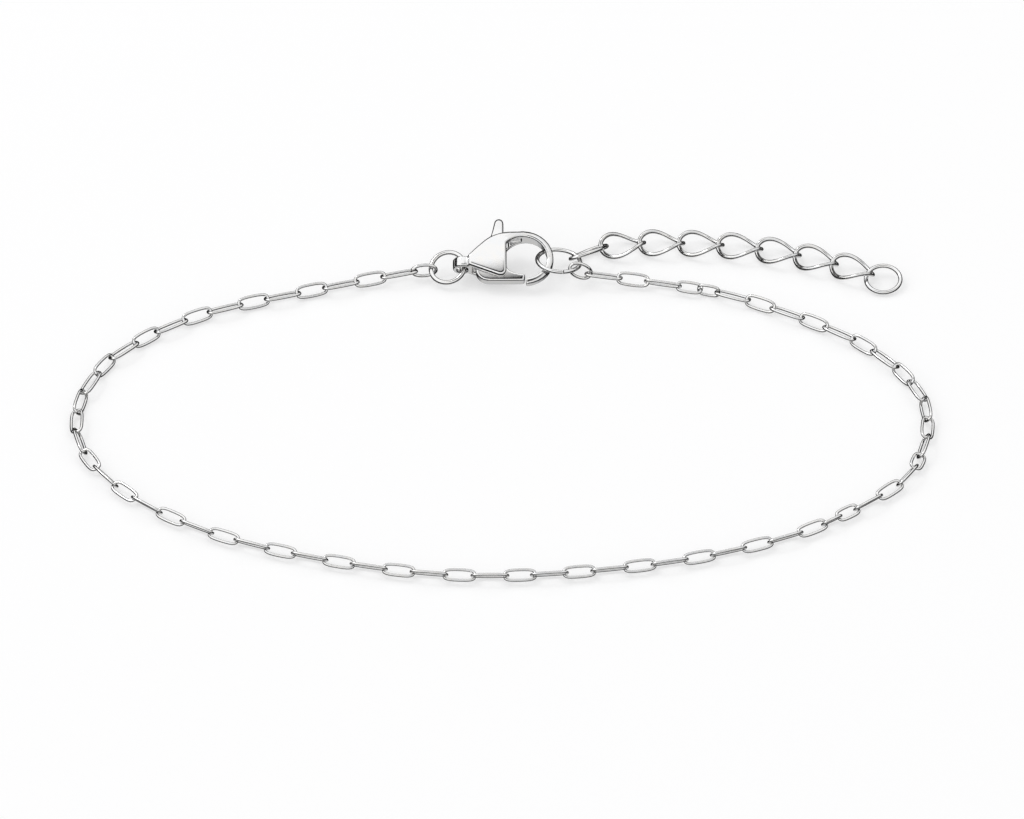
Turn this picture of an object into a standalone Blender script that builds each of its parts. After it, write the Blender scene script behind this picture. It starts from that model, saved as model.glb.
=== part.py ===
# Paperclip chain bracelet with a lobster clasp and an extender, closed and lying on a flat surface.
# Metres, +Z up. The loop's long way runs along X and the clasp lies at the back, towards +Y.

import bpy
import bmesh
from math import acos, asin, atan2, cos, degrees, pi, radians, sin
from mathutils import Matrix, Vector

MM = 0.001

# Clearances
RUNNING_GAP = 0.05 * MM  # between two linked pieces where they hang on each other
RING_GAP = 0.12 * MM  # between a ring and what hangs on it, and between the chain's two stretches
HOOK_RING_GAP = 0.28 * MM  # and on the ring in the hook, which runs askew through what hangs on it
FUSED_BITE = 0.065 * MM  # how far two fused links sink into each other
SEAM_GAP = 0.07 * MM  # between the lever's gate and the hook's tip
LEVER_SIDE_GAP = 0.05 * MM  # between the lever and each plate of the clasp
PIN_LEVER_GAP = 0.04 * MM
PIN_SEAT_GAP = 0.02 * MM

# Paperclip chain: outside lengths of its links, and their order from the clasp's eye round to its hook
CHAIN_WIRE = 0.25 * MM
LINK_WIDTH = 1.25 * MM
LINK_LENGTHS = {
    "L": 3.235 * MM,  # long
    "M": 3.005 * MM,  # middle
    "S": 2.805 * MM,  # short
    "C": 2.265 * MM,  # closer link
    "D": 1.975 * MM,  # the closest link
}
CHAIN_ORDER = "LSLSLSLSLSLSLMM" + "LS" * 14 + "DCMSMDMSMMSLSLSLSLDCLSL"
LINK_SQUARENESS = 3.0  # 2 is an ellipse, more is squarer at the ends
LINK_POINTS = 12
OUTER_SIDE_UP = radians(52)  # how far one link of a pair leans, with its outer side raised
INNER_SIDE_UP = radians(23)  # and the other, with its inner side raised
LEANS_SWAP_AT = 63  # from this link on, odd and even links lean the other way
SWAP_LEANS = {61: radians(-20), 62: radians(88), 63: radians(16), 64: radians(-56)}  # and these roll over
CHAIN_PIECES = 2  # the fused stretches that the chain is built in

# Where the chain runs on the surface, in millimetres, from the clasp's eye round to its hook
CHAIN_ROUTE = [
    (-15.3, 17.0),
    (-25.5, 13.6),
    (-32.0, 9.1),
    (-35.0, 4.7),
    (-36.2, -0.5),
    (-34.9, -5.7),
    (-30.1, -11.4),
    (-21.6, -16.3),
    (-9.1, -19.8),
    (1.4, -20.5),
    (14.1, -18.8),
    (23.5, -15.8),
    (28.7, -12.8),
    (33.7, -8.6),
    (35.5, -5.0),
    (36.2, 0.1),
    (34.7, 4.9),
    (29.8, 10.4),
    (20.9, 15.5),
    (15.2, 17.3),
]

# Small oval rings between the chain's ends and the round rings
OVAL_WIRE = 0.28 * MM
EYE_OVAL_WIDTH = 1.32 * MM
HOOK_OVAL_WIDTH = 1.5 * MM
OVAL_SQUARENESS = 2.3
EYE_OVAL_LENGTH = 2.35 * MM
HOOK_OVAL_LENGTH = 2.25 * MM
EYE_OVAL_LEAN = radians(80)  # how far their outer side is raised
HOOK_OVAL_LEAN = radians(72)
EYE_OVAL_HEADING = radians(186)  # from the round ring towards the chain, seen from above
HOOK_OVAL_HEADING = radians(0)
EYE_JOINT_HEIGHT = 0.8 * MM  # where the chain hangs on each oval, above the surface
HOOK_JOINT_HEIGHT = 0.9 * MM

# Round rings: wire, outside width, and tilt about X and Y
EYE_RING_WIRE = 0.40 * MM
EYE_RING_WIDTH = 3.3 * MM
EYE_RING_TILT = (radians(22), radians(11))
HOOK_RING_WIRE = 0.36 * MM
HOOK_RING_WIDTH = 4.05 * MM
HOOK_RING_TILT = (radians(-9.1), radians(-4.8))
HOOK_RING_OUT = 2.95 * MM  # its middle, from the middle of the hook
HOOK_RING_BACK = 0.055 * MM
HOOK_RING_DROP = 0.16 * MM
RING_POINTS = 16

# Extender: twisted links, the first one lying narrower, and a round ring at its end
EXTENDER_WIRE = 0.36 * MM
EXTENDER_LINKS = 8
EXTENDER_LENGTH = 4.13 * MM
EXTENDER_WIDTH = 2.95 * MM
FIRST_WIDTH = 2.45 * MM
EXTENDER_SQUARENESS = 2.0
EXTENDER_POINTS = 14
EXTENDER_LEAN = (radians(45), radians(-45))  # lean of the width at a link's near and far end
FIRST_LEAN = (radians(-42), radians(-34))
END_RING_WIRE = 0.36 * MM
END_RING_WIDTH = 3.3 * MM
END_RING_TILT = radians(11)

# Where the extender runs, in millimetres, from its first joint on
EXTENDER_ROUTE = [
    (8.9, 22.5),
    (12.1, 22.9),
    (18.9, 22.6),
    (25.5, 21.2),
    (31.8, 18.6),
    (36.0, 16.5),
]
EYE_OVAL_AT = radians(180)  # where each piece hangs on its round ring
HOOK_OVAL_AT = radians(-38)
EXTENDER_AT = radians(30)

# Lobster clasp, in its own plane: X from eye to hook, Y towards the thumb tab, Z through its thickness
CLASP_AT = Vector((0.17, 19.12, 1.43)) * MM
CLASP_LEAN = radians(20)
BODY_THICKNESS = 1.9 * MM
PLATE_THICKNESS = 0.47 * MM
EDGE_ROUNDING = 0.18 * MM
OPENING_RADIUS = 1.95 * MM
HOOK_BAND = 0.56 * MM
HOOK_MIDDLE = Vector((1.72, 0.42)) * MM
HOOK_TIP_ANGLE = radians(-86)
HOOK_ROOT_ANGLE = radians(104)
ROOT_THICKNESS = 1.3 * MM
BEND_THICKNESS = 0.74 * MM
TIP_THICKNESS = 0.66 * MM
OPENING_WALL_X = 0.22 * MM  # where the body ends and the opening begins
BODY_CORNER_RADIUS = 0.5 * MM
BODY_FRONT_Y = -1.56 * MM
NECK_X = -3.08 * MM
NECK_WIDTH = 0.95 * MM
BODY_BACK = [(0.05, 2.74), (-1.2, 2.28), (-2.25, 1.35)]  # the back edge's points between hook and neck, in mm
SLOT_START_X = -2.7 * MM
POCKET_HEIGHT = 0.6 * MM
POCKET_END_X = 1.5 * MM
POCKET_WALL = 0.3 * MM  # metal left outside the pocket

# The clasp's eye: a broad band whose hole runs along the clasp's Y
EYE_MIDDLE = Vector((-3.57, -0.06, -0.05)) * MM
EYE_HOLE_RADIUS = 0.48 * MM
EYE_BAND = 0.34 * MM
EYE_BREADTH = 0.98 * MM

# The lever: a round heel on a pin, a gate that closes the hook and a thumb tab
PIVOT = Vector((-1.3, -0.7, 0.0)) * MM
PIN_RADIUS = 0.25 * MM
PIN_SEAT_DEPTH = 0.3 * MM
HEEL_RADIUS = 1.12 * MM
GATE_WIDTH = 0.64 * MM
GATE_SLANT = 0.10 * MM  # how much farther the gate reaches at its inner side
TAB_WIDTH = 0.80 * MM
TAB_END = Vector((-0.45, 4.28)) * MM
TAB_FLARE = 0.32 * MM  # how far the tab widens towards its root
TAB_ROOT_Y = 3.2 * MM
TAB_INNER_Y = 2.9 * MM
LEVER_BACK = Vector((-0.55, 1.75)) * MM  # where the lever's back passes on to the tab
GATE_FILLET = [(0.75, 0.16), (0.05, 0.62)]  # the bend from the gate up to the tab, from its inner corner
LEVER_WAIST = (-0.2, 1.6)

SILVER = (0.83, 0.83, 0.84, 1.0)


def clear_scene():
    for old in list(bpy.data.objects):
        bpy.data.objects.remove(old, do_unlink=True)


def new_collection(name):
    collection = bpy.data.collections.new(name)
    bpy.context.scene.collection.children.link(collection)
    return collection


def metal(name, roughness):
    material = bpy.data.materials.new(name)
    material.use_nodes = True
    shader = material.node_tree.nodes["Principled BSDF"]
    shader.inputs["Base Color"].default_value = SILVER
    shader.inputs["Metallic"].default_value = 1.0
    shader.inputs["Roughness"].default_value = roughness
    return material


def add_object(name, data, collection, roughness=0.08):
    obj = bpy.data.objects.new(name, data)
    if not data.materials:
        data.materials.append(metal(name, roughness))
    collection.objects.link(obj)
    return obj


def as_guide(obj):
    obj.hide_render = True
    obj.display_type = "WIRE"


def solid_from(curve_object, name):
    """The curve's evaluated mesh, its caps welded, in place of the curve."""
    bpy.context.view_layer.update()
    graph = bpy.context.evaluated_depsgraph_get()
    mesh = bpy.data.meshes.new_from_object(curve_object.evaluated_get(graph))
    mesh.name = name
    shape = bmesh.new()
    shape.from_mesh(mesh)
    bmesh.ops.remove_doubles(shape, verts=shape.verts, dist=0.001 * MM)
    bmesh.ops.recalc_face_normals(shape, faces=shape.faces)
    shape.to_mesh(mesh)
    shape.free()
    bpy.data.objects.remove(curve_object, do_unlink=True)
    return mesh


def smooth_round_shape(mesh):
    mesh.shade_smooth()
    mesh.set_sharp_from_angle(angle=radians(50))


def closed_wire(name, path, wire, collection):
    """A ring or link: a closed curve through the path's points, as thick as its wire."""
    curve = bpy.data.curves.new(name, "CURVE")
    curve.dimensions = "3D"
    curve.bevel_depth = wire / 2
    curve.bevel_resolution = 1
    curve.use_fill_caps = True
    spline = curve.splines.new("POLY")
    spline.points.add(len(path) - 1)
    for index, (point, place) in enumerate(zip(spline.points, path)):
        point.co = (*place, 1.0)
        before = place - path[index - 1]
        after = path[(index + 1) % len(path)] - place
        point.radius = 1 / cos(before.angle(after) / 2)  # keeps the wire its full width at a corner
    spline.use_cyclic_u = True
    return add_object(name, curve, collection)


def flat_outline(name, loops, thickness, rounding, collection):
    """A flat shape in the XY plane with rounded edges; each further loop is a hole."""
    curve = bpy.data.curves.new(name, "CURVE")
    curve.dimensions = "2D"
    curve.fill_mode = "BOTH"
    curve.extrude = thickness / 2 - rounding
    curve.bevel_depth = rounding
    curve.bevel_resolution = 1
    curve.offset = -rounding
    for loop in loops:
        spline = curve.splines.new("POLY")
        spline.points.add(len(loop) - 1)
        for point, place in zip(spline.points, loop):
            point.co = (place[0], place[1], 0.0, 1.0)
        spline.use_cyclic_u = True
    return add_object(name, curve, collection)


def box_guide(name, low, high, collection):
    bpy.ops.mesh.primitive_cube_add(size=1)
    obj = bpy.context.object
    obj.name = name
    low, high = Vector(low), Vector(high)
    obj.data.transform(Matrix.Translation((low + high) / 2) @ Matrix.Diagonal((*(high - low), 1.0)))
    for other in obj.users_collection:
        other.objects.unlink(obj)
    collection.objects.link(obj)
    as_guide(obj)
    return obj


def join(obj, other, operation):
    modifier = obj.modifiers.new(operation.title() + " " + other.name, "BOOLEAN")
    modifier.operation = operation
    modifier.solver = "EXACT"
    modifier.object = other


def arc(middle, radius, start, end, steps):
    """Points on a round stretch, both ends included."""
    angles = [start + (end - start) * step / steps for step in range(steps + 1)]
    return [Vector((middle.x + radius * cos(a), middle.y + radius * sin(a))) for a in angles]


def smooth_line(points, steps):
    """A smooth curve through the points, with so many steps between each two."""
    first = points[0] * 2 - points[1]
    last = points[-1] * 2 - points[-2]
    padded = [first, *points, last]
    line = []
    for a, b, c, d in zip(padded, padded[1:], padded[2:], padded[3:]):
        for step in range(steps):
            t = step / steps
            line.append(
                b
                + (c - a) * (t / 2)
                + (a * 2 - b * 5 + c * 4 - d) * (t * t / 2)
                + (b * 3 - a - c * 3 + d) * (t * t * t / 2)
            )
    line.append(points[-1])
    return line


def oval_path(length, width, squareness, count, leans=(0.0, 0.0)):
    """A link's centre line along X. The lean of its width turns evenly from one end to the other."""
    power = 2 / squareness
    half_length = length / 2 / cos(pi / count) ** power
    half_width = width / 2
    path = []
    for index in range(count):
        angle = 2 * pi * (index + 0.5) / count
        x = half_length * abs(cos(angle)) ** power * (1 if cos(angle) > 0 else -1)
        side = half_width * abs(sin(angle)) ** power * (1 if sin(angle) > 0 else -1)
        lean = leans[0] + (leans[1] - leans[0]) * (0.5 + x / length)
        path.append(Vector((x, side * cos(lean), side * sin(lean))))
    return path


def round_path(radius, count):
    angles = [2 * pi * (index + 0.5) / count for index in range(count)]
    return [Vector((radius * cos(a), radius * sin(a), 0.0)) for a in angles]


def link_frame(start, end, lean=0.0, left=True):
    """X from start to end, Y to the left (or right) of it and raised by lean."""
    along = (end - start).normalized()
    side = Vector((0, 0, 1)).cross(along).normalized() * (1 if left else -1)
    up = (along.cross(side) * (1 if left else -1)).normalized()
    across = side * cos(lean) + up * sin(lean)
    frame = Matrix((along, across, along.cross(across))).transposed().to_4x4()
    frame.translation = (start + end) / 2
    return frame


def ring_frame(middle, tilt):
    turn = Matrix.Rotation(-tilt[1], 4, "Y") @ Matrix.Rotation(tilt[0], 4, "X")
    return Matrix.Translation(middle) @ turn


def on_ring(frame, radius, angle):
    return frame @ Vector((radius * cos(angle), radius * sin(angle), 0.0))


def hold_distance(wire_a, wire_b, gap=RUNNING_GAP):
    """Between the centre lines of two wires that hang on each other."""
    return (wire_a + wire_b) / 2 + gap


def walk(line, pitches):
    """Points on the line at the given straight distances, and the length of line left over."""
    joints = [line[0]]
    index = 0
    for pitch in pitches:
        here = joints[-1]
        while index + 2 < len(line) and (line[index + 1] - here).length < pitch:
            index += 1
        a, b = line[index], line[index + 1]
        run = b - a
        offset = a - here
        p = run.dot(run)
        q = 2 * run.dot(offset)
        r = offset.dot(offset) - pitch * pitch
        t = (-q + max(q * q - 4 * p * r, 0.0) ** 0.5) / (2 * p)
        joints.append(a + run * t)
    left = (line[index + 1] - joints[-1]).dot((line[index + 1] - line[index]).normalized())
    left += sum((b - a).length for a, b in zip(line[index + 1 :], line[index + 2 :]))
    return joints, left


# The clasp

def body_thickness(x, y):
    """The body is even, and the hook thins from its root to its tip."""
    angle = degrees(atan2(y - HOOK_MIDDLE.y, x - HOOK_MIDDLE.x))
    if x < OPENING_WALL_X and not 90 < angle < 130:
        return BODY_THICKNESS
    stops = [
        (-95, TIP_THICKNESS),
        (0, BEND_THICKNESS),
        (80, ROOT_THICKNESS),
        (135, BODY_THICKNESS),
    ]
    for (low, thin), (high, thick) in zip(stops, stops[1:]):
        if angle <= high:
            share = max(angle - low, 0) / (high - low)
            return thin + (thick - thin) * share
    return BODY_THICKNESS


def clasp_outline():
    outer = OPENING_RADIUS + HOOK_BAND
    inner = OPENING_RADIUS
    hook_outside = arc(HOOK_MIDDLE, outer, HOOK_TIP_ANGLE, HOOK_ROOT_ANGLE, 16)
    back = [hook_outside[-1]] + [Vector(place) * MM for place in BODY_BACK]
    back.append(Vector((NECK_X, NECK_WIDTH / 2)))
    back_edge = smooth_line(back, 3)[1:]
    corner_middle = Vector((OPENING_WALL_X - BODY_CORNER_RADIUS, BODY_FRONT_Y + BODY_CORNER_RADIUS))
    corner = arc(corner_middle, BODY_CORNER_RADIUS, radians(-115), radians(-5), 4)
    wall_angle = pi - acos((HOOK_MIDDLE.x - OPENING_WALL_X) / inner)
    hook_inside = arc(HOOK_MIDDLE, inner, wall_angle, HOOK_TIP_ANGLE, 16)
    neck_front = [Vector((NECK_X, -NECK_WIDTH / 2))]
    return hook_outside + back_edge + neck_front + corner + hook_inside


def make_clasp_body(parts, guides, holder):
    outline = flat_outline(
        "clasp_body_outline", [clasp_outline()], BODY_THICKNESS, EDGE_ROUNDING, guides
    )
    mesh = solid_from(outline, "clasp_body")
    for vertex in mesh.vertices:
        vertex.co.z *= body_thickness(vertex.co.x, vertex.co.y) / BODY_THICKNESS
    body = add_object("clasp_body", mesh, parts)
    body.parent = holder

    outer_loop = [p.to_2d() for p in round_path(EYE_HOLE_RADIUS + EYE_BAND, RING_POINTS)]
    hole_loop = [p.to_2d() for p in round_path(EYE_HOLE_RADIUS, RING_POINTS)]
    band = flat_outline(
        "clasp_eye_outline", [outer_loop, hole_loop], EYE_BREADTH, EDGE_ROUNDING / 2, guides
    )
    eye_mesh = solid_from(band, "clasp_eye")
    eye_mesh.transform(Matrix.Translation(EYE_MIDDLE) @ Matrix.Rotation(pi / 2, 4, "X"))
    eye = add_object("clasp_eye", eye_mesh, guides)

    slot_half = BODY_THICKNESS / 2 - PLATE_THICKNESS
    far = 2 * (OPENING_RADIUS + HOOK_BAND)
    slot = box_guide(
        "lever_slot",
        (SLOT_START_X, -far, -slot_half),
        (OPENING_WALL_X + EDGE_ROUNDING, far, slot_half),
        guides,
    )
    pocket_back = HOOK_MIDDLE.y + OPENING_RADIUS + HOOK_BAND - POCKET_WALL
    pocket = box_guide(
        "spring_pocket",
        (OPENING_WALL_X, HOOK_MIDDLE.y, -POCKET_HEIGHT / 2),
        (POCKET_END_X, pocket_back, POCKET_HEIGHT / 2),
        guides,
    )
    seat_radius = PIN_RADIUS + PIN_SEAT_GAP
    seats = cylinder("pin_seats", seat_radius, 2 * (slot_half + PIN_SEAT_DEPTH), guides)
    seats.data.transform(Matrix.Translation(PIVOT))
    as_guide(seats)
    for guide in (eye, slot, pocket, seats):
        guide.parent = holder
        as_guide(guide)
    join(body, eye, "UNION")
    join(body, slot, "DIFFERENCE")
    join(body, pocket, "DIFFERENCE")
    join(body, seats, "DIFFERENCE")
    smooth_round_shape(mesh)


def cylinder(name, radius, height, collection):
    shape = bmesh.new()
    bmesh.ops.create_cone(
        shape, cap_ends=True, segments=12, radius1=radius, radius2=radius, depth=height
    )
    mesh = bpy.data.meshes.new(name)
    shape.to_mesh(mesh)
    shape.free()
    return add_object(name, mesh, collection)


def lever_outline():
    """Round its heel, along the gate, back up to the thumb tab; from the pivot."""
    gate_front = -HEEL_RADIUS
    tip = HOOK_MIDDLE + (OPENING_RADIUS + HOOK_BAND) * Vector((cos(HOOK_TIP_ANGLE), sin(HOOK_TIP_ANGLE)))
    gate_end = tip.x - SEAM_GAP - GATE_SLANT - PIVOT.x
    heel = arc(Vector((0, 0)), HEEL_RADIUS, radians(150), radians(270), 7)
    gate = [
        Vector((gate_end, gate_front)),
        Vector((gate_end + GATE_SLANT, gate_front + GATE_WIDTH)),
    ]
    wall = OPENING_WALL_X - PIVOT.x
    tab = TAB_END - PIVOT.to_2d()
    inner_edge = [
        gate[-1],
        *(Vector((wall, gate_front + GATE_WIDTH)) + Vector(place) * MM for place in GATE_FILLET),
        Vector((wall, 0)) + Vector(LEVER_WAIST) * MM,
        Vector((tab.x + TAB_WIDTH / 2, TAB_INNER_Y)),
        Vector((tab.x + TAB_WIDTH / 2, tab.y - TAB_WIDTH / 2)),
    ]
    tab_end = arc(Vector((tab.x, tab.y - TAB_WIDTH / 2)), TAB_WIDTH / 2, 0, pi, 6)
    outer_edge = [
        tab_end[-1],
        Vector((tab.x - TAB_WIDTH / 2 - TAB_FLARE, TAB_ROOT_Y)),
        LEVER_BACK,
        heel[0],
    ]
    return (
        heel
        + gate[:1]
        + smooth_line(inner_edge, 2)[:-1]
        + tab_end[:-1]
        + smooth_line(outer_edge, 2)[:-1]
    )


def make_lever(parts, guides, holder):
    slot = BODY_THICKNESS - 2 * PLATE_THICKNESS
    outline = flat_outline(
        "clasp_lever_outline", [lever_outline()], slot - 2 * LEVER_SIDE_GAP, EDGE_ROUNDING / 2, guides
    )
    mesh = solid_from(outline, "clasp_lever")
    lever = add_object("clasp_lever", mesh, parts)
    lever.parent = holder
    lever.location = PIVOT
    bore = cylinder("lever_bore", PIN_RADIUS + PIN_LEVER_GAP, 2 * slot, guides)
    bore.parent = holder
    bore.location = PIVOT
    as_guide(bore)
    join(lever, bore, "DIFFERENCE")
    smooth_round_shape(mesh)


def make_pin(parts, holder):
    slot = BODY_THICKNESS - 2 * PLATE_THICKNESS
    length = slot + 2 * (PIN_SEAT_DEPTH - PIN_SEAT_GAP)
    pin = cylinder("clasp_pin", PIN_RADIUS, length, parts)
    pin.parent = holder
    pin.location = PIVOT


# The rings

def make_ring(name, wire, width, frame, collection):
    ring = closed_wire(name, round_path((width - wire) / 2, RING_POINTS), wire, collection)
    ring.matrix_world = frame
    return ring


def make_oval(name, length, width, start, end, lean, left, collection):
    path = oval_path(length - OVAL_WIRE, width - OVAL_WIRE, OVAL_SQUARENESS, LINK_POINTS)
    oval = closed_wire(name, path, OVAL_WIRE, collection)
    oval.matrix_world = link_frame(start, end, lean, left)
    return oval


def oval_ends(length, ring_frame_, ring_width, ring_wire, gap, angle, heading, height):
    """Where an oval and its round ring meet, and where the oval and the chain do."""
    wire_middle = on_ring(ring_frame_, (ring_width - ring_wire) / 2, angle)
    on_round = hold_distance(ring_wire, OVAL_WIRE, gap)
    reach = length - OVAL_WIRE - on_round - hold_distance(OVAL_WIRE, CHAIN_WIRE, RING_GAP) / 2
    pitch = asin((height - wire_middle.z) / reach)
    flat = Vector((cos(heading), sin(heading), 0)) * cos(pitch)
    along = flat + Vector((0, 0, sin(pitch)))
    return wire_middle - along * on_round / 2, wire_middle + along * reach


# The paperclip chain

def chain_height():
    return CHAIN_WIRE / 2 + (LINK_WIDTH - CHAIN_WIRE) / 2 * sin(OUTER_SIDE_UP)


def chain_breaks():
    """The joints at which one fused stretch ends and the next begins."""
    count = len(CHAIN_ORDER)
    return [round(count * piece / CHAIN_PIECES) for piece in range(1, CHAIN_PIECES)]


def chain_joints(start, end):
    """The links' joints, on a route as deep as it must be for the chain to reach from start to end."""
    fused = hold_distance(CHAIN_WIRE, CHAIN_WIRE, -FUSED_BITE)
    loose = hold_distance(CHAIN_WIRE, CHAIN_WIRE, RING_GAP)
    on_oval = hold_distance(CHAIN_WIRE, OVAL_WIRE, RING_GAP)
    holds = [loose if joint in chain_breaks() else fused for joint in range(len(CHAIN_ORDER) + 1)]
    holds[0] = on_oval
    holds[-1] = on_oval
    pitches = [
        LINK_LENGTHS[kind] - CHAIN_WIRE - (before + after) / 2
        for kind, before, after in zip(CHAIN_ORDER, holds, holds[1:])
    ]
    anchor = (start.y + end.y) / 2
    shallow, deep = 0.4, 2.0
    for _ in range(50):
        depth = (shallow + deep) / 2
        inner = [
            Vector((x * MM, anchor + (y * MM - anchor) * depth, chain_height())) for x, y in CHAIN_ROUTE
        ]
        joints, left = walk(smooth_line([start, *inner, end], 24), pitches)
        if left > 0:
            deep = depth
        else:
            shallow = depth
    return joints


def link_lean(number):
    """Which way a link leans: the angle of its outer side above the surface."""
    if number in SWAP_LEANS:
        return SWAP_LEANS[number]
    outer_up = (number % 2 == 0) == (number < LEANS_SWAP_AT)
    return OUTER_SIDE_UP if outer_up else -INNER_SIDE_UP


def joined_mesh(name, placed):
    shape = bmesh.new()
    for mesh, frame in placed:
        copy = mesh.copy()
        copy.transform(frame)
        shape.from_mesh(copy)
        bpy.data.meshes.remove(copy)
    mesh = bpy.data.meshes.new(name)
    shape.to_mesh(mesh)
    shape.free()
    return mesh


def make_chain(parts, guides, start, end):
    joints = chain_joints(start, end)
    shapes = {}
    for kind, length in LINK_LENGTHS.items():
        path = oval_path(
            length - CHAIN_WIRE, LINK_WIDTH - CHAIN_WIRE, LINK_SQUARENESS, LINK_POINTS
        )
        shapes[kind] = solid_from(closed_wire("link_" + kind, path, CHAIN_WIRE, guides), "link_" + kind)
    placed = []
    for index, kind in enumerate(CHAIN_ORDER):
        frame = link_frame(joints[index], joints[index + 1], link_lean(index + 1), left=False)
        placed.append((shapes[kind], frame))
    bounds = [0, *chain_breaks(), len(CHAIN_ORDER)]
    names = ["paperclip_chain_" + word for word in ("left", "right", "third", "fourth")]
    for name, first, last in zip(names, bounds, bounds[1:]):
        stretch = placed[first:last]
        chain = add_object(name, joined_mesh(name, stretch[0::2]), parts)
        others = add_object(name + "_between", joined_mesh(name + "_between", stretch[1::2]), guides)
        as_guide(others)
        join(chain, others, "UNION")
        smooth_round_shape(chain.data)


# The extender

def extender_height():
    """High enough that the twisted links' sides clear the surface."""
    path = oval_path(
        EXTENDER_LENGTH - EXTENDER_WIRE,
        EXTENDER_WIDTH - EXTENDER_WIRE,
        EXTENDER_SQUARENESS,
        EXTENDER_POINTS,
        EXTENDER_LEAN,
    )
    return EXTENDER_WIRE / 2 - min(point.z for point in path)


def make_extender(parts, ring, ring_width, ring_wire):
    on_ring_hold = hold_distance(ring_wire, EXTENDER_WIRE, HOOK_RING_GAP)
    between = hold_distance(EXTENDER_WIRE, EXTENDER_WIRE)
    on_end = hold_distance(EXTENDER_WIRE, END_RING_WIRE, RING_GAP)
    height = extender_height()
    holds = [on_ring_hold] + [between] * (EXTENDER_LINKS - 1) + [on_end]
    pitches = [
        EXTENDER_LENGTH - EXTENDER_WIRE - (before + after) / 2
        for before, after in zip(holds, holds[1:])
    ]
    route = [Vector((x * MM, y * MM, height)) for x, y in EXTENDER_ROUTE]
    wire_middle = on_ring(ring, (ring_width - ring_wire) / 2, EXTENDER_AT)
    start = wire_middle - (route[0] - wire_middle).normalized() * on_ring_hold / 2
    joints, _ = walk(smooth_line([start, *route], 24), pitches)
    for index in range(EXTENDER_LINKS):
        leans = FIRST_LEAN if index == 0 else EXTENDER_LEAN
        width = FIRST_WIDTH if index == 0 else EXTENDER_WIDTH
        path = oval_path(
            EXTENDER_LENGTH - EXTENDER_WIRE,
            width - EXTENDER_WIRE,
            EXTENDER_SQUARENESS,
            EXTENDER_POINTS,
            leans,
        )
        link = closed_wire(f"extender_link_{index + 1}", path, EXTENDER_WIRE, parts)
        link.matrix_world = link_frame(joints[index], joints[index + 1])
    radius = (END_RING_WIDTH - END_RING_WIRE) / 2
    along = (joints[-1] - joints[-2]).normalized()
    middle = joints[-1] + along * (radius - on_end / 2)
    middle.z = END_RING_WIRE / 2 + radius * sin(END_RING_TILT)
    make_ring("end_ring", END_RING_WIRE, END_RING_WIDTH, ring_frame(middle, (END_RING_TILT, 0)), parts)


def stand_on_origin(parts):
    """Moves the bracelet so that the origin is the middle of its footprint, at its lowest point."""
    bpy.context.view_layer.update()
    graph = bpy.context.evaluated_depsgraph_get()
    corners = []
    for obj in parts.objects:
        if obj.type == "EMPTY":
            continue
        evaluated = obj.evaluated_get(graph)
        mesh = evaluated.to_mesh()
        corners += [evaluated.matrix_world @ vertex.co for vertex in mesh.vertices]
        evaluated.to_mesh_clear()
    low = Vector([min(corner[axis] for corner in corners) for axis in range(3)])
    high = Vector([max(corner[axis] for corner in corners) for axis in range(3)])
    shift = Vector((-(low.x + high.x) / 2, -(low.y + high.y) / 2, -low.z))
    for obj in bpy.data.objects:
        if obj.parent is None:
            obj.location += shift


def main():
    clear_scene()
    parts = new_collection("paperclip_chain_bracelet")
    guides = new_collection("cutters_and_guides")

    holder = bpy.data.objects.new("clasp", None)
    parts.objects.link(holder)
    holder.matrix_world = Matrix.Translation(CLASP_AT) @ Matrix.Rotation(CLASP_LEAN, 4, "X")
    clasp = holder.matrix_world.copy()
    make_clasp_body(parts, guides, holder)
    make_lever(parts, guides, holder)
    make_pin(parts, holder)

    eye_radius = (EYE_RING_WIDTH - EYE_RING_WIRE) / 2
    eye_turn = ring_frame(Vector((0, 0, 0)), EYE_RING_TILT)
    seat = clasp @ (EYE_MIDDLE + Vector((EYE_HOLE_RADIUS - EYE_RING_WIRE / 2 - RUNNING_GAP * 2, 0, 0)))
    eye_ring = Matrix.Translation(seat - on_ring(eye_turn, eye_radius, 0)) @ eye_turn
    make_ring("eye_jump_ring", EYE_RING_WIRE, EYE_RING_WIDTH, eye_ring, parts)

    hook = clasp @ HOOK_MIDDLE.to_3d()
    hook_ring_middle = hook + Vector((HOOK_RING_OUT, HOOK_RING_BACK, -HOOK_RING_DROP))
    hook_ring = ring_frame(hook_ring_middle, HOOK_RING_TILT)
    make_ring("hook_jump_ring", HOOK_RING_WIRE, HOOK_RING_WIDTH, hook_ring, parts)

    eye_start, chain_start = oval_ends(
        EYE_OVAL_LENGTH,
        eye_ring,
        EYE_RING_WIDTH,
        EYE_RING_WIRE,
        RING_GAP,
        EYE_OVAL_AT,
        EYE_OVAL_HEADING,
        EYE_JOINT_HEIGHT,
    )
    hook_start, chain_end = oval_ends(
        HOOK_OVAL_LENGTH,
        hook_ring,
        HOOK_RING_WIDTH,
        HOOK_RING_WIRE,
        HOOK_RING_GAP,
        HOOK_OVAL_AT,
        HOOK_OVAL_HEADING,
        HOOK_JOINT_HEIGHT,
    )
    make_oval(
        "eye_oval_ring",
        EYE_OVAL_LENGTH,
        EYE_OVAL_WIDTH,
        eye_start,
        chain_start,
        EYE_OVAL_LEAN,
        False,
        parts,
    )
    make_oval(
        "hook_oval_ring",
        HOOK_OVAL_LENGTH,
        HOOK_OVAL_WIDTH,
        hook_start,
        chain_end,
        HOOK_OVAL_LEAN,
        True,
        parts,
    )
    make_chain(parts, guides, chain_start, chain_end)
    make_extender(parts, hook_ring, HOOK_RING_WIDTH, HOOK_RING_WIRE)
    stand_on_origin(parts)


main()
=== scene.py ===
# Looks of the paperclip chain bracelet: wires, rings and castings, polished silver, the table.
# Pieces are shaped at the bench in millimetres, then laid out in metres where the frame has them.
import bpy
from math import asin, cos, pi, radians, sin
from mathutils import Matrix, Vector


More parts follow.
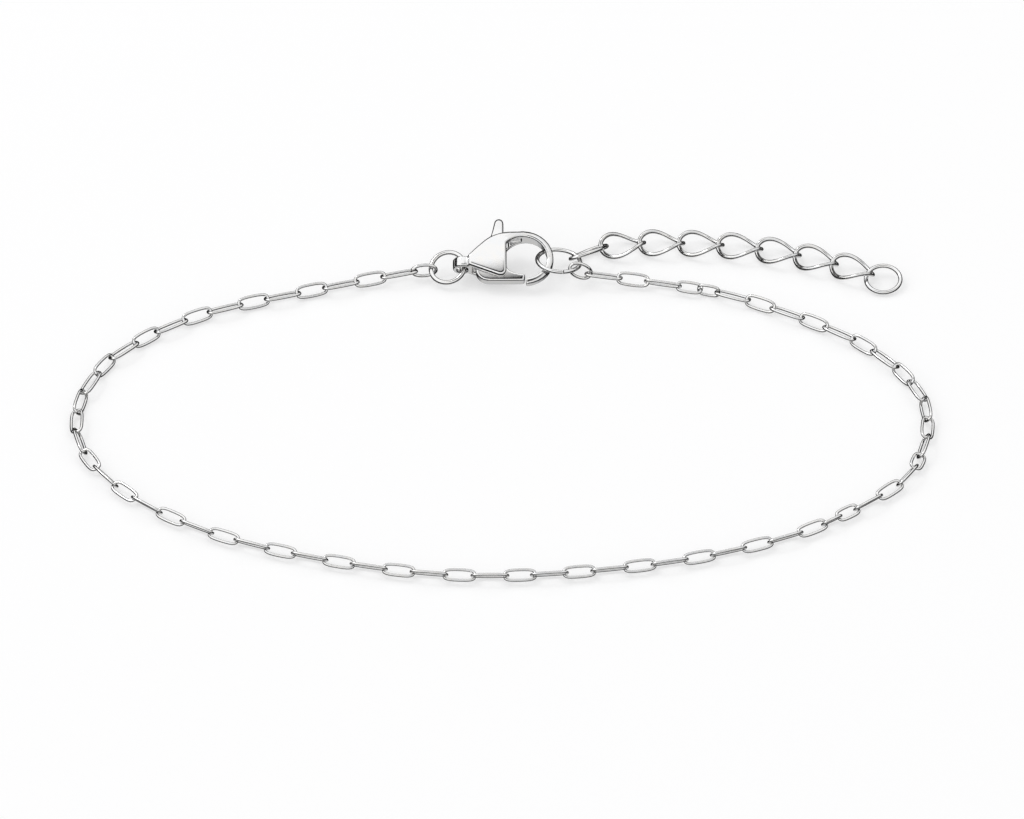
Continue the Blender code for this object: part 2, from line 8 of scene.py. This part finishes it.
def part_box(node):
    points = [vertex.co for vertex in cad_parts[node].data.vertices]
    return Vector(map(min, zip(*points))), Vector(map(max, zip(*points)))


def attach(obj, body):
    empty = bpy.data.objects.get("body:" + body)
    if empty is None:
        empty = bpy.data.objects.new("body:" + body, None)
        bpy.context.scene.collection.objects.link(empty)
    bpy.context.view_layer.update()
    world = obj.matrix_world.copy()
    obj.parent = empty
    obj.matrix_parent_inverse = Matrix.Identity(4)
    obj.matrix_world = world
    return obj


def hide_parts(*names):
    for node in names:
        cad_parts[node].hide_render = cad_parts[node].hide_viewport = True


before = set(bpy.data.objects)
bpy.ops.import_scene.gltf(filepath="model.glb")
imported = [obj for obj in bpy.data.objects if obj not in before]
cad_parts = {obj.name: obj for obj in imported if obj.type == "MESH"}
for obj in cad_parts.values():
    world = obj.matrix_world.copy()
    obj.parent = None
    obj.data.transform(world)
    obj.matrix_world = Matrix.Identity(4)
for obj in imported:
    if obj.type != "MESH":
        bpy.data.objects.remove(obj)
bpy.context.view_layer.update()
mm = 0.001
print("frame loaded:", len(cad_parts), "nodes")


# Selecting and finishing

def deselectAll():
    if bpy.context.object and bpy.context.object.mode != "OBJECT":
        bpy.ops.object.mode_set(mode="OBJECT")
    bpy.ops.object.select_all(action="DESELECT")


def makeActive(piece):
    deselectAll()
    piece.select_set(True)
    bpy.context.view_layer.objects.active = piece


def applyModifier(piece, kind, **settings):
    makeActive(piece)
    modifier = piece.modifiers.new(kind.title(), kind)
    for name, value in settings.items():
        setattr(modifier, name, value)
    bpy.ops.object.modifier_apply(modifier=modifier.name)


def layOut(piece, place):
    # from the bench to the table: millimetres to metres, then into place, all kept in the mesh
    makeActive(piece)
    piece.matrix_world = place @ Matrix.Diagonal((mm, mm, mm, 1))
    bpy.ops.object.transform_apply(location=True, rotation=True, scale=True)


def copyOf(piece, name):
    twin = piece.copy()
    twin.data = piece.data.copy()
    twin.name = name
    bpy.context.scene.collection.objects.link(twin)
    return twin


def joinPieces(pieces, name):
    deselectAll()
    for piece in pieces:
        piece.select_set(True)
    bpy.context.view_layer.objects.active = pieces[0]
    bpy.ops.object.join()
    pieces[0].name = name
    return pieces[0]


def smoothShade(piece, angle=60):
    makeActive(piece)
    bpy.ops.object.shade_smooth_by_angle(angle=radians(angle))


# Wires

weldWithin = 0.002  # mm


def bendWire(name, length, width, wire, steps, sides, endHandle, sideHandle):
    # a closed loop of round wire along X: a round curve pulled long and its ends squared
    # (a handle of 0.55 of half the size keeps a curve about round, a longer one squares it)
    deselectAll()
    bpy.ops.curve.primitive_bezier_circle_add(radius=1)
    loop = bpy.context.object
    loop.name = name
    curve = loop.data
    curve.dimensions = "3D"
    curve.resolution_u = steps
    curve.bevel_depth = wire / 2
    curve.bevel_resolution = (sides - 4) // 2
    bpy.ops.object.mode_set(mode="EDIT")
    bpy.ops.curve.select_all(action="SELECT")
    bpy.ops.transform.resize(value=((length - wire) / 2, (width - wire) / 2, 1))
    for point in curve.splines[0].bezier_points:
        point.handle_left_type = "FREE"
        point.handle_right_type = "FREE"
        atEnd = abs(point.co.x) > abs(point.co.y)
        reach = (width - wire) / 2 * endHandle if atEnd else (length - wire) / 2 * sideHandle
        for side in ("handle_left", "handle_right"):
            away = (getattr(point, side) - point.co).normalized() * reach
            setattr(point, side, point.co + away)
    bpy.ops.object.mode_set(mode="OBJECT")
    makeActive(loop)
    bpy.ops.object.convert(target="MESH")
    loop = bpy.context.object
    bpy.ops.object.mode_set(mode="EDIT")
    bpy.ops.mesh.select_all(action="SELECT")
    bpy.ops.mesh.remove_doubles(threshold=weldWithin)
    bpy.ops.mesh.normals_make_consistent(inside=False)
    bpy.ops.object.mode_set(mode="OBJECT")
    smoothShade(loop)
    return loop


def twisted(loop, leans):
    # gives a flat loop its twist, so that its width leans differently at either end
    twist = leans[1] - leans[0]
    applyModifier(loop, "SIMPLE_DEFORM", deform_method="TWIST", deform_axis="X", angle=twist)
    return loop


ringFaces = 120  # round a jump ring; its saw cut is one of them wide
wireFaces = 16


def sawnRing(name, width, wire, cutAt):
    # a round jump ring with its fine saw cut
    deselectAll()
    bpy.ops.mesh.primitive_torus_add(
        major_radius=(width - wire) / 2, minor_radius=wire / 2,
        major_segments=ringFaces, minor_segments=wireFaces,
    )
    ring = bpy.context.object
    ring.name = name
    middle = Vector((cos(cutAt), sin(cutAt), 0)) * (width - wire) / 2
    bpy.ops.object.mode_set(mode="EDIT")
    bpy.ops.mesh.select_all(action="DESELECT")
    bpy.ops.mesh.select_mode(type="FACE")
    bpy.ops.object.mode_set(mode="OBJECT")
    halfFace = pi / ringFaces
    for face in ring.data.polygons:
        out = Vector((face.center.x, face.center.y, 0))
        face.select = out.angle(middle) < halfFace * 0.99
    bpy.ops.object.mode_set(mode="EDIT")
    bpy.ops.mesh.delete(type="FACE")
    bpy.ops.mesh.select_all(action="SELECT")
    bpy.ops.mesh.fill_holes(sides=0)
    bpy.ops.mesh.select_all(action="SELECT")
    bpy.ops.mesh.normals_make_consistent(inside=False)
    bpy.ops.object.mode_set(mode="OBJECT")
    smoothShade(ring)
    return ring


# Where things lie, as in the frame: the same sizes and the same way of hanging one piece on the next

def roundFrame(middle, tilt):
    turn = Matrix.Rotation(-tilt[1], 4, "Y") @ Matrix.Rotation(tilt[0], 4, "X")
    return Matrix.Translation(middle) @ turn


def onRound(place, radius, angle):
    return place @ Vector((radius * cos(angle), radius * sin(angle), 0))


def linkFrame(start, end, lean, left=True):
    along = (end - start).normalized()
    hand = 1 if left else -1
    side = Vector((0, 0, 1)).cross(along).normalized() * hand
    up = (along.cross(side) * hand).normalized()
    across = side * cos(lean) + up * sin(lean)
    place = Matrix((along, across, along.cross(across))).transposed().to_4x4()
    place.translation = (start + end) / 2
    return place


def smoothLine(points, steps):
    padded = [points[0] * 2 - points[1], *points, points[-1] * 2 - points[-2]]
    line = []
    for a, b, c, d in zip(padded, padded[1:], padded[2:], padded[3:]):
        for step in range(steps):
            t = step / steps
            bend = (a * 2 - b * 5 + c * 4 - d) * (t * t / 2)
            line.append(b + (c - a) * (t / 2) + bend + (b * 3 - a - c * 3 + d) * (t * t * t / 2))
    return line + [points[-1]]


def walk(line, pitches):
    joints = [line[0]]
    index = 0
    for pitch in pitches:
        here = joints[-1]
        while index + 2 < len(line) and (line[index + 1] - here).length < pitch:
            index += 1
        run = line[index + 1] - line[index]
        offset = line[index] - here
        p = run.dot(run)
        q = 2 * run.dot(offset)
        r = offset.dot(offset) - pitch * pitch
        joints.append(line[index] + run * ((-q + max(q * q - 4 * p * r, 0.0) ** 0.5) / (2 * p)))
    left = (line[index + 1] - joints[-1]).dot((line[index + 1] - line[index]).normalized())
    left += sum((b - a).length for a, b in zip(line[index + 1:], line[index + 2:]))
    return joints, left


def hold(wireA, wireB, gap):
    return (wireA + wireB) / 2 + gap


lineSteps = 24  # steps between two points of a route
clasp = {
    "at": Vector((0.17, 19.12, 1.43)),
    "lean": radians(20),
    "eyeMiddle": Vector((-3.57, -0.06, -0.05)),
    "eyeHoleRadius": 0.48,
    "eyeSlack": 0.1,  # between the eye and the ring that hangs in it
    "hookMiddle": Vector((1.72, 0.42, 0)),
    "castWeld": 1e-7,  # m
    "castVoxel": 0.05,  # how finely the cast surface is rebuilt
    "castSmoothing": 30,  # rounds of smoothing, as tumbling rounds a casting
    "castSoftness": 0.5,  # of each round
}
roundRings = {
    "gap": 0.12,
    "hookGap": 0.28,
    "eye": {
        "wire": 0.40,
        "width": 3.3,
        "tilt": (radians(22), radians(11)),
        "cutAt": radians(75),
    },
    "hook": {
        "wire": 0.36,
        "width": 4.05,
        "tilt": (radians(-9.1), radians(-4.8)),
        "cutAt": radians(-80),
        "fromHook": Vector((2.95, 0.055, -0.16)),
    },
    "end": {"wire": 0.36, "width": 3.3, "tilt": radians(11), "cutAt": radians(-150)},
}
ovals = {
    "wire": 0.28,
    "handle": 0.6,
    "sides": 16,
    "steps": 12,
    "eye": {
        "length": 2.35,
        "width": 1.32,
        "lean": radians(80),
        "heading": radians(186),
        "at": radians(180),  # where it hangs on its round ring
        "height": 0.8,  # of the joint with the chain
    },
    "hook": {
        "length": 2.25,
        "width": 1.5,
        "lean": radians(72),
        "heading": 0.0,
        "at": radians(-38),
        "height": 0.9,
    },
}
chain = {
    "wire": 0.25,
    "width": 1.25,
    "lengths": {"L": 3.235, "M": 3.005, "S": 2.805, "C": 2.265, "D": 1.975},
    "order": "LSLSLSLSLSLSLMM" + "LS" * 14 + "DCMSMDMSMMSLSLSLSLDCLSL",
    "bite": 0.065,  # how far the frame's fused links sink into each other
    "outerSideUp": radians(52),
    "innerSideUp": radians(23),
    "leansSwapAt": 63,
    "swapLeans": {61: radians(-20), 62: radians(88), 63: radians(16), 64: radians(-56)},
    "endHandle": 0.80,
    "sideHandle": 0.88,
    "sides": 12,
    "steps": 7,
    "routeDepths": (0.4, 2.0),  # how flat or deep the loop may get to fit the chain's length
    "routeTries": 50,
}
# the chain's way on the table, from the clasp's eye round to its hook, in mm
chainRoute = [
    (-15.3, 17.0), (-25.5, 13.6), (-32.0, 9.1), (-35.0, 4.7), (-36.2, -0.5),
    (-34.9, -5.7), (-30.1, -11.4), (-21.6, -16.3), (-9.1, -19.8), (1.4, -20.5),
    (14.1, -18.8), (23.5, -15.8), (28.7, -12.8), (33.7, -8.6), (35.5, -5.0),
    (36.2, 0.1), (34.7, 4.9), (29.8, 10.4), (20.9, 15.5), (15.2, 17.3),
]

claspPlace = Matrix.Translation(clasp["at"]) @ Matrix.Rotation(clasp["lean"], 4, "X")
eyeRing = roundRings["eye"]
hookRing = roundRings["hook"]
eyeRadius = (eyeRing["width"] - eyeRing["wire"]) / 2
hookRadius = (hookRing["width"] - hookRing["wire"]) / 2
eyeTurn = roundFrame(Vector((0, 0, 0)), eyeRing["tilt"])
eyeReach = clasp["eyeHoleRadius"] - eyeRing["wire"] / 2 - clasp["eyeSlack"]
eyeSeat = claspPlace @ (clasp["eyeMiddle"] + Vector((eyeReach, 0, 0)))
eyePlace = Matrix.Translation(eyeSeat - onRound(eyeTurn, eyeRadius, 0)) @ eyeTurn
hookPlace = roundFrame(claspPlace @ clasp["hookMiddle"] + hookRing["fromHook"], hookRing["tilt"])


def ovalEnds(oval, place, radius, ringWire, gap):
    wireMiddle = onRound(place, radius, oval["at"])
    onRing = hold(ringWire, ovals["wire"], gap)
    onChain = hold(ovals["wire"], chain["wire"], roundRings["gap"])
    reach = oval["length"] - ovals["wire"] - onRing - onChain / 2
    pitch = asin((oval["height"] - wireMiddle.z) / reach)
    heading = oval["heading"]
    along = Vector((cos(heading) * cos(pitch), sin(heading) * cos(pitch), sin(pitch)))
    return wireMiddle - along * onRing / 2, wireMiddle + along * reach


def chainJoints(start, end):
    count = len(chain["order"])
    holds = [hold(chain["wire"], chain["wire"], -chain["bite"])] * (count + 1)
    holds[0] = holds[-1] = hold(chain["wire"], ovals["wire"], roundRings["gap"])
    holds[count // 2] = hold(chain["wire"], chain["wire"], roundRings["gap"])
    pitches = [
        chain["lengths"][kind] - chain["wire"] - (before + after) / 2
        for kind, before, after in zip(chain["order"], holds, holds[1:])
    ]
    height = chain["wire"] / 2 + (chain["width"] - chain["wire"]) / 2 * sin(chain["outerSideUp"])
    anchor = (start.y + end.y) / 2
    shallow, deep = chain["routeDepths"]
    for _ in range(chain["routeTries"]):
        depth = (shallow + deep) / 2
        inner = [Vector((x, anchor + (y - anchor) * depth, height)) for x, y in chainRoute]
        joints, left = walk(smoothLine([start, *inner, end], lineSteps), pitches)
        if left > 0:
            deep = depth
        else:
            shallow = depth
    return joints


eyeStart, chainStart = ovalEnds(
    ovals["eye"], eyePlace, eyeRadius, eyeRing["wire"], roundRings["gap"]
)
hookStart, chainEnd = ovalEnds(
    ovals["hook"], hookPlace, hookRadius, hookRing["wire"], roundRings["hookGap"]
)
joints = chainJoints(chainStart, chainEnd)

# the frame stands on its origin: its eye ring says how far everything is moved for that
ringLow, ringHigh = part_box("eye_jump_ring")
shift = (ringLow + ringHigh) / 2 - eyePlace.translation * mm
toTable = Matrix.Translation(shift) @ Matrix.Diagonal((mm, mm, mm, 1))


def laidAt(place):
    # a place in bench millimetres, as one on the table in metres
    turned = place.to_3x3().to_4x4()
    return Matrix.Translation(toTable @ place.translation) @ turned


# The chain
print("bending the chain's links")
linkShapes = {
    kind: bendWire(
        "linkShape" + kind, length + chain["bite"], chain["width"], chain["wire"],
        chain["steps"], chain["sides"], chain["endHandle"], chain["sideHandle"],
    )
    for kind, length in chain["lengths"].items()
}


def linkLean(number):
    if number in chain["swapLeans"]:
        return chain["swapLeans"][number]
    outerUp = (number % 2 == 0) == (number < chain["leansSwapAt"])
    return chain["outerSideUp"] if outerUp else -chain["innerSideUp"]


chainLinks = []
for index, kind in enumerate(chain["order"]):
    link = copyOf(linkShapes[kind], f"link{index + 1}")
    place = linkFrame(joints[index], joints[index + 1], linkLean(index + 1), left=False)
    layOut(link, laidAt(place))
    chainLinks.append(link)
half = len(chainLinks) // 2
chainLeft = joinPieces(chainLinks[:half], "chainLinksLeft")
chainRight = joinPieces(chainLinks[half:], "chainLinksRight")
for shape in linkShapes.values():
    bpy.data.objects.remove(shape, do_unlink=True)


# The small ovals

def bendOval(name, oval):
    return bendWire(
        name, oval["length"], oval["width"], ovals["wire"],
        ovals["steps"], ovals["sides"], ovals["handle"], ovals["handle"],
    )


print("bending the small ovals")
eyeOval = bendOval("eyeOval", ovals["eye"])
layOut(eyeOval, laidAt(linkFrame(eyeStart, chainStart, ovals["eye"]["lean"], left=False)))
hookOval = bendOval("hookOval", ovals["hook"])
layOut(hookOval, laidAt(linkFrame(hookStart, chainEnd, ovals["hook"]["lean"])))

# The round rings
print("sawing the round rings")
eyeJumpRing = sawnRing("eyeJumpRing", eyeRing["width"], eyeRing["wire"], eyeRing["cutAt"])
layOut(eyeJumpRing, laidAt(eyePlace))
hookJumpRing = sawnRing("hookJumpRing", hookRing["width"], hookRing["wire"], hookRing["cutAt"])
layOut(hookJumpRing, laidAt(hookPlace))

# The extender
print("twisting the extender's links")
extender = {
    "wire": 0.36,
    "links": 8,
    "length": 4.13,
    "width": 2.95,
    "firstWidth": 2.45,
    "gap": 0.05,
    "lean": (radians(45), radians(-45)),  # of a link's width at its two ends
    "firstLean": (radians(-42), radians(-34)),
    "handle": 0.55,
    "sides": 16,
    "steps": 16,
    "at": radians(30),  # where it hangs on the hook's round ring
    "route": [(8.9, 22.5), (12.1, 22.9), (18.9, 22.6), (25.5, 21.2), (31.8, 18.6), (36.0, 16.5)],
}
endRing = roundRings["end"]
nodeLow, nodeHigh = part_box("extender_link_3")
extenderHeight = ((nodeLow.z + nodeHigh.z) / 2 - shift.z) / mm
holdOnHook = hold(hookRing["wire"], extender["wire"], roundRings["hookGap"])
holdBetween = hold(extender["wire"], extender["wire"], extender["gap"])
holdOnEnd = hold(extender["wire"], endRing["wire"], roundRings["gap"])
extenderHolds = [holdOnHook] + [holdBetween] * (extender["links"] - 1) + [holdOnEnd]
extenderPitches = [
    extender["length"] - extender["wire"] - (before + after) / 2
    for before, after in zip(extenderHolds, extenderHolds[1:])
]
extenderWay = [Vector((x, y, extenderHeight)) for x, y in extender["route"]]
ringWire = onRound(hookPlace, hookRadius, extender["at"])
extenderStart = ringWire - (extenderWay[0] - ringWire).normalized() * holdOnHook / 2
extenderJoints, _ = walk(smoothLine([extenderStart, *extenderWay], lineSteps), extenderPitches)


def bendCurb(name, width, leans):
    flat = bendWire(
        name, extender["length"], width, extender["wire"],
        extender["steps"], extender["sides"], extender["handle"], extender["handle"],
    )
    return twisted(flat, leans)


curbShape = bendCurb("curbShape", extender["width"], extender["lean"])
extenderLinks = []
for index in range(extender["links"]):
    if index == 0:
        link = bendCurb("extenderLink1", extender["firstWidth"], extender["firstLean"])
        lean = sum(extender["firstLean"]) / 2
    else:
        link = copyOf(curbShape, f"extenderLink{index + 1}")
        lean = sum(extender["lean"]) / 2
    layOut(link, laidAt(linkFrame(extenderJoints[index], extenderJoints[index + 1], lean)))
    extenderLinks.append(link)
bpy.data.objects.remove(curbShape, do_unlink=True)
endRadius = (endRing["width"] - endRing["wire"]) / 2
lastWay = (extenderJoints[-1] - extenderJoints[-2]).normalized()
endMiddle = extenderJoints[-1] + lastWay * (endRadius - holdOnEnd / 2)
endMiddle.z = endRing["wire"] / 2 + endRadius * sin(endRing["tilt"])
endJumpRing = sawnRing("endRing", endRing["width"], endRing["wire"], endRing["cutAt"])
layOut(endJumpRing, laidAt(roundFrame(endMiddle, (endRing["tilt"], 0))))


# The clasp: its cast body and lever, rebuilt finely from the frame's solids and tumbled smooth

def castFrom(node, name):
    cast = copyOf(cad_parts[node], name)
    for key in list(cast.keys()):
        del cast[key]
    cast.parent = None
    cast.matrix_world = Matrix.Identity(4)
    makeActive(cast)
    bpy.ops.object.mode_set(mode="EDIT")
    bpy.ops.mesh.select_all(action="SELECT")
    bpy.ops.mesh.remove_doubles(threshold=clasp["castWeld"])
    bpy.ops.object.mode_set(mode="OBJECT")
    cast.scale = (1 / mm, 1 / mm, 1 / mm)
    bpy.ops.object.transform_apply(location=False, rotation=False, scale=True)
    voxel = clasp["castVoxel"]
    applyModifier(cast, "REMESH", mode="VOXEL", voxel_size=voxel, use_smooth_shade=True)
    applyModifier(cast, "SMOOTH", factor=clasp["castSoftness"], iterations=clasp["castSmoothing"])
    cast.scale = (mm, mm, mm)
    bpy.ops.object.transform_apply(location=False, rotation=False, scale=True)
    return cast


print("casting the clasp")
claspCast = castFrom("clasp_body", "claspCasting")
leverCast = castFrom("clasp_lever", "leverCasting")


# Materials: shader maths written as expressions on sockets

def feed(slot, value):
    # a socket takes another node's signal or a plain value
    if isinstance(value, Signal):
        value.tree.links.new(value.socket, slot)
    else:
        slot.default_value = value


class Signal:
    def __init__(self, tree, socket):
        self.tree = tree
        self.socket = socket

    def math(self, operation, *others, swap=False):
        node = self.tree.nodes.new("ShaderNodeMath")
        node.operation = operation
        values = [*others, self] if swap else [self, *others]
        for slot, value in zip(node.inputs, values):
            feed(slot, value)
        return Signal(self.tree, node.outputs[0])

    def __add__(self, other): return self.math("ADD", other)
    def __radd__(self, other): return self.math("ADD", other)
    def __sub__(self, other): return self.math("SUBTRACT", other)
    def __rsub__(self, other): return self.math("SUBTRACT", other, swap=True)
    def __mul__(self, other): return self.math("MULTIPLY", other)
    def __rmul__(self, other): return self.math("MULTIPLY", other)
    def __truediv__(self, other): return self.math("DIVIDE", other)
    def __rtruediv__(self, other): return self.math("DIVIDE", other, swap=True)

    def clamped(self):
        return self.math("MAXIMUM", 0.0).math("MINIMUM", 1.0)


class Mixer:
    # one method adds any node: its settings first, then the values or links of its sockets
    def __init__(self, tree):
        self.tree = tree

    def node(self, kind, settings=None, output=0, **sockets):
        node = self.tree.nodes.new("ShaderNode" + kind)
        for name, value in (settings or {}).items():
            setattr(node, name, value)
        for name, value in sockets.items():
            feed(next(slot for slot in node.inputs if slot.enabled and slot.name == name), value)
        return Signal(self.tree, node.outputs[output])

    def mixColour(self, share, first, second):
        node = self.tree.nodes.new("ShaderNodeMix")
        node.data_type = "RGBA"
        for index, value in ((0, share), (6, first), (7, second)):
            feed(node.inputs[index], value)
        return Signal(self.tree, node.outputs[2])


def silver(name, finish):
    # polished silver: faint clouding, tiny pits and fine rubbed scratches
    material = bpy.data.materials.new(name)
    material.use_nodes = True
    tree = material.node_tree
    shader = tree.nodes["Principled BSDF"]
    mixer = Mixer(tree)
    place = mixer.node("TexCoord", output=3)
    bench = mixer.node("Mapping", Vector=place, Scale=(1 / mm, 1 / mm, 1 / mm))
    cloud = mixer.node(
        "TexNoise", Vector=bench, Scale=finish["cloudScale"], Detail=3.0, Roughness=0.55
    )
    grain = mixer.node(
        "TexNoise", Vector=bench, Scale=finish["grainScale"], Detail=4.0, Roughness=0.6
    )
    rubbed = mixer.node(
        "Mapping", Vector=bench, Rotation=finish["rubTurn"], Scale=finish["rubScale"]
    )
    scratches = mixer.node("TexNoise", Vector=rubbed, Scale=1.0, Detail=5.0, Roughness=0.7)
    scratch = ((scratches - finish["scratchFrom"]) * finish["scratchEdge"]).clamped()
    cells = mixer.node("TexVoronoi", Vector=bench, Scale=finish["pitScale"])
    pits = ((cells - finish["pitSize"]) * -finish["pitEdge"]).clamped()
    worn = ((cloud - 0.5) * finish["cloudContrast"] + 0.5).clamped()
    colour = mixer.mixColour(worn, finish["coolColour"], finish["warmColour"])
    colour = mixer.mixColour(pits * finish["pitDepth"], colour, finish["pitColour"])
    dulled = worn * finish["cloudRough"] + scratch * finish["scratchRough"]
    roughness = (dulled + finish["rough"]).clamped()
    cut = scratch * finish["scratchDepth"]
    height = grain * finish["grainHeight"] - cut - pits * finish["pitHeight"]
    if "domeAt" in finish:
        # a cast piece swells towards the middle of its face
        domed = mixer.node(
            "Mapping", Vector=bench, Location=finish["domeAt"], Scale=finish["domeScale"]
        )
        reach = 1 - mixer.node("TexGradient", {"gradient_type": "SPHERICAL"}, Vector=domed)
        height = height - reach * reach * finish["domeHeight"]
    bump = mixer.node("Bump", Height=height, Strength=1.0, Distance=mm)
    feed(shader.inputs["Base Color"], colour)
    feed(shader.inputs["Roughness"], roughness)
    feed(shader.inputs["Normal"], bump)
    feed(shader.inputs["Metallic"], 1.0)
    return material


polished = {
    "coolColour": (0.775, 0.78, 0.79, 1),
    "warmColour": (0.805, 0.795, 0.78, 1),
    "pitColour": (0.40, 0.39, 0.37, 1),
    "rough": 0.03,
    "cloudRough": 0.02,
    "scratchRough": 0.06,
    "cloudScale": 1.4,
    "cloudContrast": 3,
    "grainScale": 14.0,
    "grainHeight": 0.0012,  # heights in mm
    "rubTurn": (0.3, 0.2, 0.5),
    "rubScale": (2.0, 40.0, 12.0),
    "scratchFrom": 0.56,  # how much of the noise shows as scratches, and how sharply
    "scratchEdge": 6,
    "scratchDepth": 0.0008,
    "pitScale": 5.0,
    "pitSize": 0.12,
    "pitEdge": 12,
    "pitDepth": 0.25,
    "pitHeight": 0.0006,
}
domeMiddle = Vector((-0.65, 17.63, 0))  # of the clasp's face
domeLong = 9.0  # mm from there to where its swell ends
domeDeep = 6.0
castFinish = {
    **polished,
    "rough": 0.07,
    "cloudRough": 0.05,
    "grainScale": 6.0,
    "grainHeight": 0.003,
    "domeAt": Vector((-domeMiddle.x / domeLong, -domeMiddle.y / domeDeep, 0)),
    "domeScale": (1 / domeLong, 1 / domeDeep, 0),
    "domeHeight": 1.9,
}
chainSilver = silver("chainSilver", polished)
ringSilver = silver("ringSilver", {**polished, "cloudScale": 1.0, "rough": 0.035})
castSilver = silver("castSilver", castFinish)
leverFinish = {**castFinish, "rough": 0.06, "cloudScale": 1.8, "rubScale": (30.0, 3.0, 10.0)}
leverSilver = silver("leverSilver", leverFinish)
pinSilver = silver("pinSilver", {**polished, "rough": 0.15, "rubScale": (40.0, 40.0, 2.0)})


def finishPiece(piece, material, body, slot, *nodes):
    piece.data.materials.clear()
    piece.data.materials.append(material)
    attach(piece, body)
    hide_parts(*nodes)


print("finishing the pieces")
finishPiece(chainLeft, chainSilver, "bracelet", "chain", "paperclip_chain_left")
finishPiece(chainRight, chainSilver, "bracelet", "chain", "paperclip_chain_right")
finishPiece(eyeOval, ringSilver, "bracelet", "oval_rings", "eye_oval_ring")
finishPiece(hookOval, ringSilver, "bracelet", "oval_rings", "hook_oval_ring")
finishPiece(eyeJumpRing, ringSilver, "bracelet", "jump_rings", "eye_jump_ring")
finishPiece(hookJumpRing, ringSilver, "bracelet", "jump_rings", "hook_jump_ring")
for index, link in enumerate(extenderLinks):
    finishPiece(link, ringSilver, "bracelet", "extender", f"extender_link_{index + 1}")
finishPiece(endJumpRing, ringSilver, "bracelet", "extender", "end_ring")
finishPiece(claspCast, castSilver, "bracelet", "clasp", "clasp_body")
finishPiece(leverCast, leverSilver, "lever", "lever", "clasp_lever")
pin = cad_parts["clasp_pin"]
pin.data.materials.clear()
pin.data.materials.append(pinSilver)


# The table, the light and the camera

studio = {
    "tableSize": 3,
    "tableColour": (0.50, 0.50, 0.503, 1),
    "tableRough": 0.9,
    "tableShine": 0.1,
    "tableGlow": 0.52,
    "roomGlow": 0.02,
    "roomLight": 1.18,
    # lit bands of the room: where each starts and ends (sine or cosine), its blur, its glow
    "wallBand": (0.30, 0.93, 0.08, 0.95),
    "wallTilt": 0.17,  # the band starts higher behind the table than before it
    "lowBand": (0.80, 1.40, 0.16, 0.62),  # below the surface, which isn't seen in the metal
    "ceiling": (0.93, 1.40, 0.10, 1.0),
    "ceilingWay": (-0.08, 0.28, 0.957),
    "leftBrighter": 0.35,
    "keyAt": (-0.4, 0.3, 0.6),
    "keyPower": 0.5,
    "keySize": 0.15,
}
camera = {
    "elevation": radians(40),
    "lens": 1200,
    "sensor": 36,
    "pixel": 0.085,  # mm in the picture
    "across": 1024,  # pixels
    "middle": (512, 409.5),  # the picture's middle, in pixels
    "zero": (502, 421),  # and the pixel that shows the routes' zero point
    "sees": (0.05, 20),
}

print("laying the table and lighting the room")
bpy.ops.mesh.primitive_plane_add(size=studio["tableSize"], location=(0, 0, 0))
table = bpy.context.object
table.name = "table"
tableFinish = bpy.data.materials.new("tablePaper")
tableFinish.use_nodes = True
tableShader = tableFinish.node_tree.nodes["Principled BSDF"]
feed(tableShader.inputs["Base Color"], studio["tableColour"])
feed(tableShader.inputs["Roughness"], studio["tableRough"])
feed(tableShader.inputs["Specular IOR Level"], studio["tableShine"])
feed(tableShader.inputs["Emission Color"], (1, 1, 1, 1))
feed(tableShader.inputs["Emission Strength"], studio["tableGlow"])
table.data.materials.append(tableFinish)
table.visible_glossy = False  # the metal sees the room's low band in its place

world = bpy.data.worlds.new("room")
bpy.context.scene.world = world
world.use_nodes = True
roomTree = world.node_tree
room = Mixer(roomTree)
direction = room.node("TexCoord", output=0)
split = room.node("SeparateXYZ", Vector=direction).socket.node
sideways, depthways, height = (Signal(roomTree, output) for output in split.outputs)


def litBand(reach, low, high, blur, strength):
    edgeOn = ((reach - low) / blur + 0.5).clamped()
    edgeOff = ((reach - high) / blur + 0.5).clamped()
    return (edgeOn - edgeOff) * strength


wayX, wayY, wayZ = studio["ceilingWay"]
overhead = sideways * wayX + depthways * wayY + height * wayZ
reach = height - depthways * studio["wallTilt"]
walls = litBand(reach, *studio["wallBand"]) * (1 - sideways * studio["leftBrighter"])
lit = (walls + litBand(overhead, *studio["ceiling"])).clamped() * studio["roomLight"]
low = litBand(height * -1, *studio["lowBand"])
glow = lit + low + studio["roomGlow"]
background = roomTree.nodes["Background"]
feed(background.inputs["Strength"], glow)
feed(background.inputs["Color"], (1, 1, 1, 1))

bpy.ops.object.light_add(type="AREA", location=studio["keyAt"])
key = bpy.context.object
key.data.size = studio["keySize"]
key.data.energy = studio["keyPower"]
key.rotation_euler = (-key.location).to_track_quat("-Z", "Y").to_euler()

print("placing the camera")
elevation = camera["elevation"]
acrossPicture = (camera["middle"][0] - camera["zero"][0]) * camera["pixel"]
upPicture = (camera["zero"][1] - camera["middle"][1]) * camera["pixel"]
target = Vector((acrossPicture, upPicture / sin(elevation), 0)) * mm + shift
away = camera["lens"] * (camera["across"] * camera["pixel"] * mm) / camera["sensor"]
back = Vector((0, -cos(elevation), sin(elevation)))
bpy.ops.object.camera_add(location=target + back * away)
view = bpy.context.object
view.rotation_euler = (pi / 2 - elevation, 0, 0)
view.data.lens = camera["lens"]
view.data.sensor_width = camera["sensor"]
view.data.clip_start, view.data.clip_end = camera["sees"]
bpy.context.scene.camera = view
bpy.context.scene.view_settings.view_transform = "Standard"
